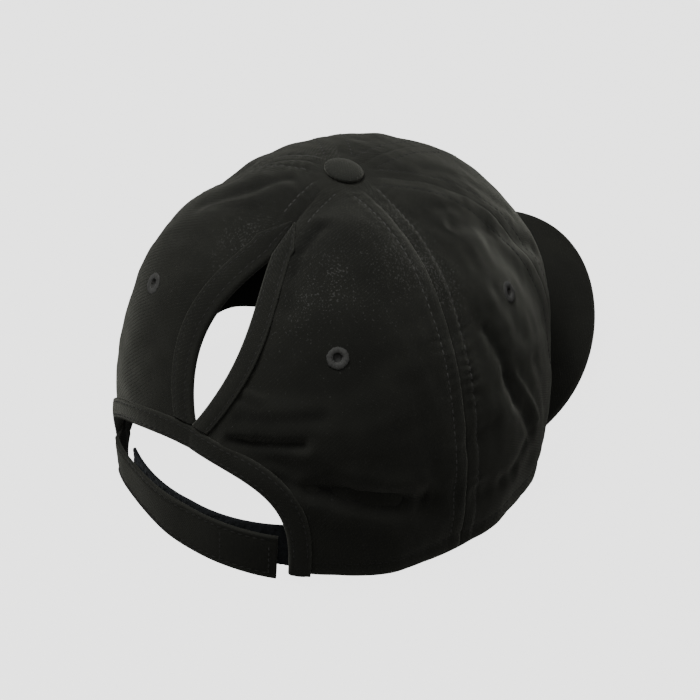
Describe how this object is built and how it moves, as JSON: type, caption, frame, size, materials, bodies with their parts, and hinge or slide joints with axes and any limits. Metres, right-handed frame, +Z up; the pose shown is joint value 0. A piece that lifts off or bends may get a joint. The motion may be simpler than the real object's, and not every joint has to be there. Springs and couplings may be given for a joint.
{
  "type": "ponytail baseball cap",
  "caption": "Soft panelled baseball cap with a bent peak, a tall ponytail slot between the back panels and an arch above a two-part closing strap.",
  "frame": {"origin": "centre of the bounding box on the surface that the cap rests on", "axes": "+Z up, -Y along the peak, +X toward the wearer's left"},
  "size_m": [0.1702, 0.2544, 0.1343],
  "materials": {
    "twill": "washed cotton twill, matt",
    "peak_twill": "cotton twill over a stiff board, matt",
    "facing_twill": "folded cotton twill strip, matt",
    "strap_twill": "cotton twill strap, matt",
    "loop_tape": "brushed loop tape, very matt",
    "sweatband_twill": "cotton band, matt",
    "button_twill": "cloth-covered button, matt",
    "eyelet_thread": "satin-stitched thread"
  },
  "bodies": {
    "root": {"panel_back_right": "twill", "panel_back_left": "twill", "panel_side_right": "twill", "panel_side_left": "twill", "panel_front_right": "twill", "panel_front_left": "twill", "eyelet_back_right": "eyelet_thread", "eyelet_back_left": "eyelet_thread", "eyelet_side_right": "eyelet_thread", "eyelet_side_left": "eyelet_thread", "slot_facing_right": "facing_twill", "slot_facing_left": "facing_twill", "arch_binding": "facing_twill", "strap_outer": "strap_twill", "strap_inner": "loop_tape", "sweatband": "sweatband_twill", "peak": "peak_twill", "button": "button_twill"}
  },
  "joints": []
}
